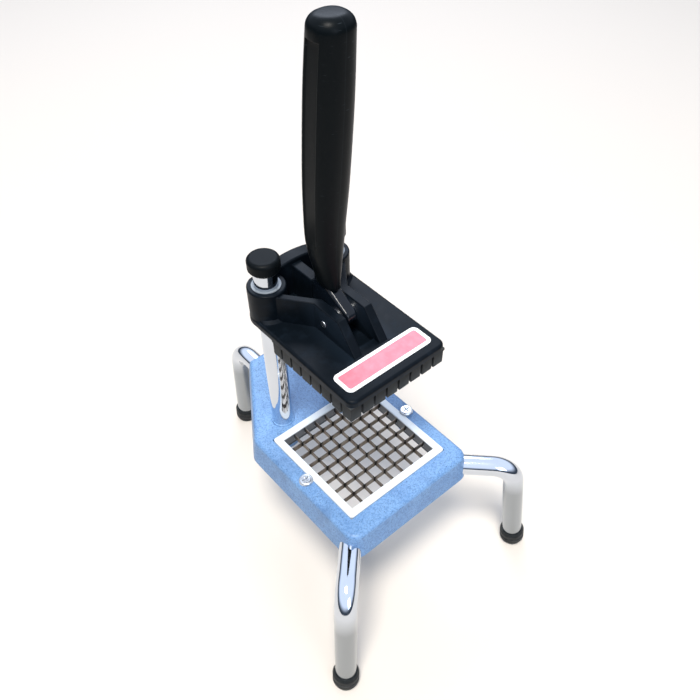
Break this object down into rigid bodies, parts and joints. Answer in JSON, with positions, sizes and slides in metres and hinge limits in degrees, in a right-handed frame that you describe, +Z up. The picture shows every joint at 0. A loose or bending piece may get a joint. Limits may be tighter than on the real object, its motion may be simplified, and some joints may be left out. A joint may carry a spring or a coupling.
{
  "type": "vegetable dicer",
  "caption": "Tripod-stand vegetable dicer: a pegged pusher head with an upright lever slides on two columns over a square blade grid.",
  "frame": {"origin": "on the ground, in the middle of the footprint of the three rubber feet", "axes": "+Z up along the guide columns, +X to the right as the user stands in front, -Y towards the user, +Y towards the rear leg"},
  "size_m": [0.2082, 0.283, 0.4239],
  "materials": {
    "hammered_paint": "hammered blue-grey enamel on an aluminium casting",
    "white_enamel": "white gloss enamel",
    "blade_steel": "ground stainless strip",
    "zinc_steel": "bright zinc plating",
    "chrome": "polished chrome plating",
    "black_plastic": "moulded, low sheen",
    "rubber": "moulded rubber",
    "black_casting": "black semi-gloss coating on an aluminium casting",
    "dark_casting": "black coating, worn on the pegs",
    "bush_steel": "turned steel, oiled",
    "label": "plain vinyl",
    "black_steel": "black gloss coating on forged steel",
    "grip_plastic": "moulded ABS, satin"
  },
  "bodies": {
    "stand": {"base_plate": "hammered_paint", "blade_frame": "white_enamel", "blade_strips_lengthwise": "blade_steel", "blade_strips_across": "blade_steel", "blade_clamp_screws": "zinc_steel", "column_left": "chrome", "column_right": "chrome", "column_washers": "zinc_steel", "column_bolts": "zinc_steel", "column_cap_left": "black_plastic", "column_cap_right": "black_plastic", "stop_rings": "rubber", "leg_front_left": "chrome", "leg_front_right": "chrome", "leg_rear": "chrome", "foot_front_left": "rubber", "foot_front_right": "rubber", "foot_rear": "rubber", "leg_set_screws": "zinc_steel"},
    "head": {"pusher_head": "black_casting", "guide_bushes_left": "bush_steel", "guide_bushes_right": "bush_steel", "peg_block": "dark_casting", "peg_block_screws": "zinc_steel", "blank_label": "label", "pivot_pin": "zinc_steel", "lever_spacers": "zinc_steel"},
    "lever": {"lever_arm": "black_steel", "handle_grip": "grip_plastic", "grip_pin": "zinc_steel"}
  },
  "joints": [
    {"name": "head_slide", "type": "slide", "parent": "stand", "child": "head", "axis": [0, 0, 1], "range_m": [-0.1047, 0.0112]},
    {"name": "lever_fold", "type": "hinge", "parent": "head", "child": "lever", "pos_m": [0, -0.02064, 0.2396], "axis": [1, 0, 0], "range_deg": [0, 75]}
  ]
}
